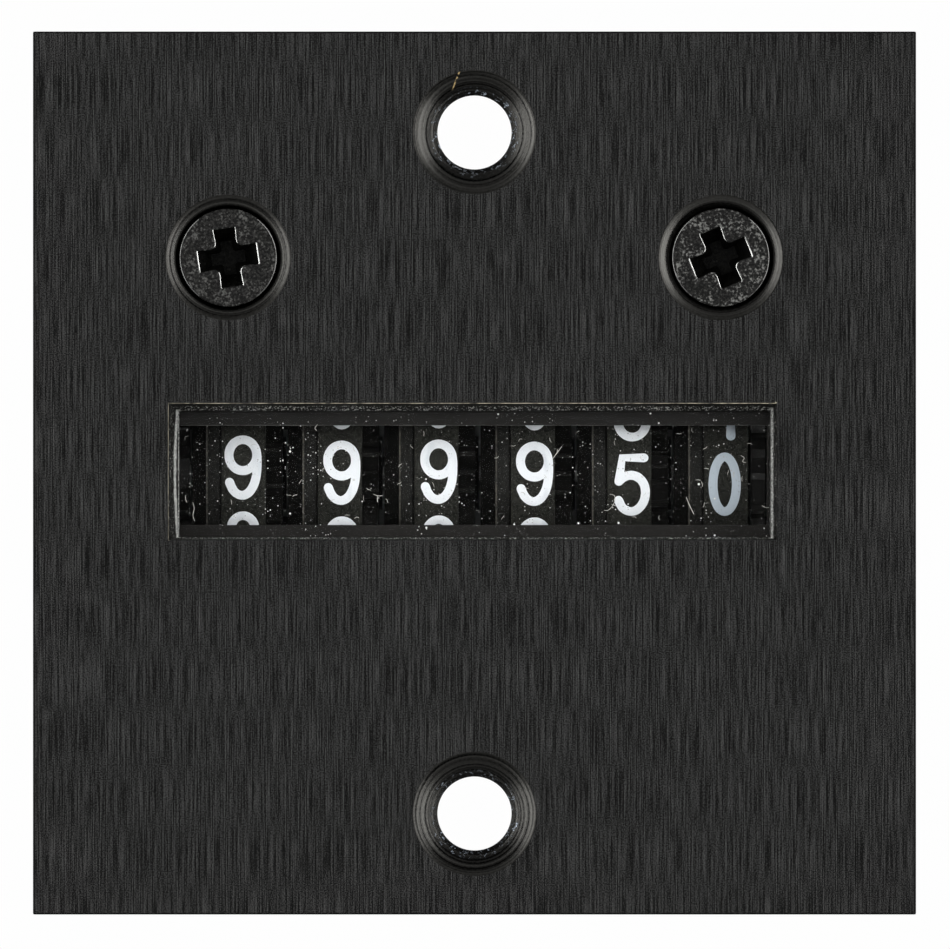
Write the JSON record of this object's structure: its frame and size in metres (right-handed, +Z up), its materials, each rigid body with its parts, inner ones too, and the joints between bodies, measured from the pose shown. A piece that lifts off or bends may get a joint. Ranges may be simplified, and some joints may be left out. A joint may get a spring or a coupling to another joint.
{
  "type": "panel counter",
  "caption": "Square panel counter: black plate with a wide window, number wheels with carry pinions behind it, and an electromagnet drive in a moulded housing with blade terminals.",
  "frame": {"origin": "centre of the front plate's rear face, where it meets the panel", "axes": "+X to the right and +Z up as seen from the front, +Y into the panel"},
  "size_m": [0.05, 0.0499, 0.05],
  "materials": {
    "black_anodised": "vertically brushed, black anodised",
    "black_screw": "black oxide, speckled, worn at the recess",
    "case_moulding": "moulded black, fine texture",
    "clear_lens": "clear pane with dust",
    "zinc_steel": "zinc plated sheet",
    "bright_steel": "bright turned steel",
    "brass": "plain",
    "wheel_plastic": "matte black with white printed numbers",
    "black_acetal": "black acetal",
    "pinion_plastic": "natural acetal",
    "bobbin_plastic": "moulded, ivory",
    "copper_winding": "enamelled copper wire"
  },
  "bodies": {
    "counter_body": {"front_plate": "black_anodised", "plate_screw_left": "black_screw", "plate_screw_right": "black_screw", "front_case": "case_moulding", "rear_cover": "case_moulding", "window_lens": "clear_lens", "cover_screw_left": "zinc_steel", "cover_screw_right": "zinc_steel", "mechanism_frame": "zinc_steel", "shaft_clip_left": "zinc_steel", "shaft_clip_right": "zinc_steel", "magnet_yoke": "zinc_steel", "wheel_shaft": "bright_steel", "pinion_shaft": "bright_steel", "armature_pin": "bright_steel", "return_spring": "bright_steel", "magnet_core": "bright_steel", "terminal_left": "brass", "terminal_right": "brass", "bush_left": "black_acetal", "bush_right": "black_acetal", "coil_bobbin": "bobbin_plastic", "coil_winding": "copper_winding"},
    "units_wheel_body": {"units_wheel": "wheel_plastic", "ratchet_wheel": "black_acetal"},
    "tens_wheel_body": {"tens_wheel": "wheel_plastic"},
    "hundreds_wheel_body": {"hundreds_wheel": "wheel_plastic"},
    "thousands_wheel_body": {"thousands_wheel": "wheel_plastic"},
    "ten_thousands_wheel_body": {"ten_thousands_wheel": "wheel_plastic"},
    "hundred_thousands_wheel_body": {"hundred_thousands_wheel": "wheel_plastic"},
    "pinion_1_body": {"transfer_pinion_1": "pinion_plastic"},
    "pinion_2_body": {"transfer_pinion_2": "pinion_plastic"},
    "pinion_3_body": {"transfer_pinion_3": "pinion_plastic"},
    "pinion_4_body": {"transfer_pinion_4": "pinion_plastic"},
    "pinion_5_body": {"transfer_pinion_5": "pinion_plastic"},
    "armature_body": {"armature": "zinc_steel", "verge": "pinion_plastic", "verge_rivet": "brass"}
  },
  "joints": [
    {"name": "units_turn", "type": "hinge", "parent": "counter_body", "child": "units_wheel_body", "pos_m": [0.01428, 0.0102, 0], "axis": [1, 0, 0], "continuous": true},
    {"name": "tens_turn", "type": "hinge", "parent": "counter_body", "child": "tens_wheel_body", "pos_m": [0.0088, 0.0102, 0], "axis": [1, 0, 0], "continuous": true},
    {"name": "hundreds_turn", "type": "hinge", "parent": "counter_body", "child": "hundreds_wheel_body", "pos_m": [0.00332, 0.0102, 0], "axis": [1, 0, 0], "continuous": true},
    {"name": "thousands_turn", "type": "hinge", "parent": "counter_body", "child": "thousands_wheel_body", "pos_m": [-0.00216, 0.0102, 0], "axis": [1, 0, 0], "continuous": true},
    {"name": "ten_thousands_turn", "type": "hinge", "parent": "counter_body", "child": "ten_thousands_wheel_body", "pos_m": [-0.00764, 0.0102, 0], "axis": [1, 0, 0], "continuous": true},
    {"name": "hundred_thousands_turn", "type": "hinge", "parent": "counter_body", "child": "hundred_thousands_wheel_body", "pos_m": [-0.01312, 0.0102, 0], "axis": [1, 0, 0], "continuous": true},
    {"name": "pinion_1_turn", "type": "hinge", "parent": "counter_body", "child": "pinion_1_body", "pos_m": [0.0088, 0.0144, -0.00727], "axis": [1, 0, 0], "continuous": true},
    {"name": "pinion_2_turn", "type": "hinge", "parent": "counter_body", "child": "pinion_2_body", "pos_m": [0.00332, 0.0144, -0.00727], "axis": [1, 0, 0], "continuous": true},
    {"name": "pinion_3_turn", "type": "hinge", "parent": "counter_body", "child": "pinion_3_body", "pos_m": [-0.00216, 0.0144, -0.00727], "axis": [1, 0, 0], "continuous": true},
    {"name": "pinion_4_turn", "type": "hinge", "parent": "counter_body", "child": "pinion_4_body", "pos_m": [-0.00764, 0.0144, -0.00727], "axis": [1, 0, 0], "continuous": true},
    {"name": "pinion_5_turn", "type": "hinge", "parent": "counter_body", "child": "pinion_5_body", "pos_m": [-0.01312, 0.0144, -0.00727], "axis": [1, 0, 0], "continuous": true},
    {"name": "armature_swing", "type": "hinge", "parent": "counter_body", "child": "armature_body", "pos_m": [0, 0.01935, 0.009], "axis": [1, 0, 0], "range_deg": [0, 4.5], "stiffness_Nm_per_rad": 0.001, "springref_deg": -17.19, "deforming": ["return_spring"]}
  ],
  "couplings": [
    {"joint": "tens_turn", "follows": "units_turn", "ratio": 0.1},
    {"joint": "hundreds_turn", "follows": "units_turn", "ratio": 0.01},
    {"joint": "thousands_turn", "follows": "units_turn", "ratio": 0.001},
    {"joint": "ten_thousands_turn", "follows": "units_turn", "ratio": 0.0001},
    {"joint": "hundred_thousands_turn", "follows": "units_turn", "ratio": 0.00001},
    {"joint": "pinion_1_turn", "follows": "units_turn", "ratio": -0.25},
    {"joint": "pinion_2_turn", "follows": "units_turn", "ratio": -0.025},
    {"joint": "pinion_3_turn", "follows": "units_turn", "ratio": -0.0025},
    {"joint": "pinion_4_turn", "follows": "units_turn", "ratio": -0.00025},
    {"joint": "pinion_5_turn", "follows": "units_turn", "ratio": -0.000025}
  ]
}
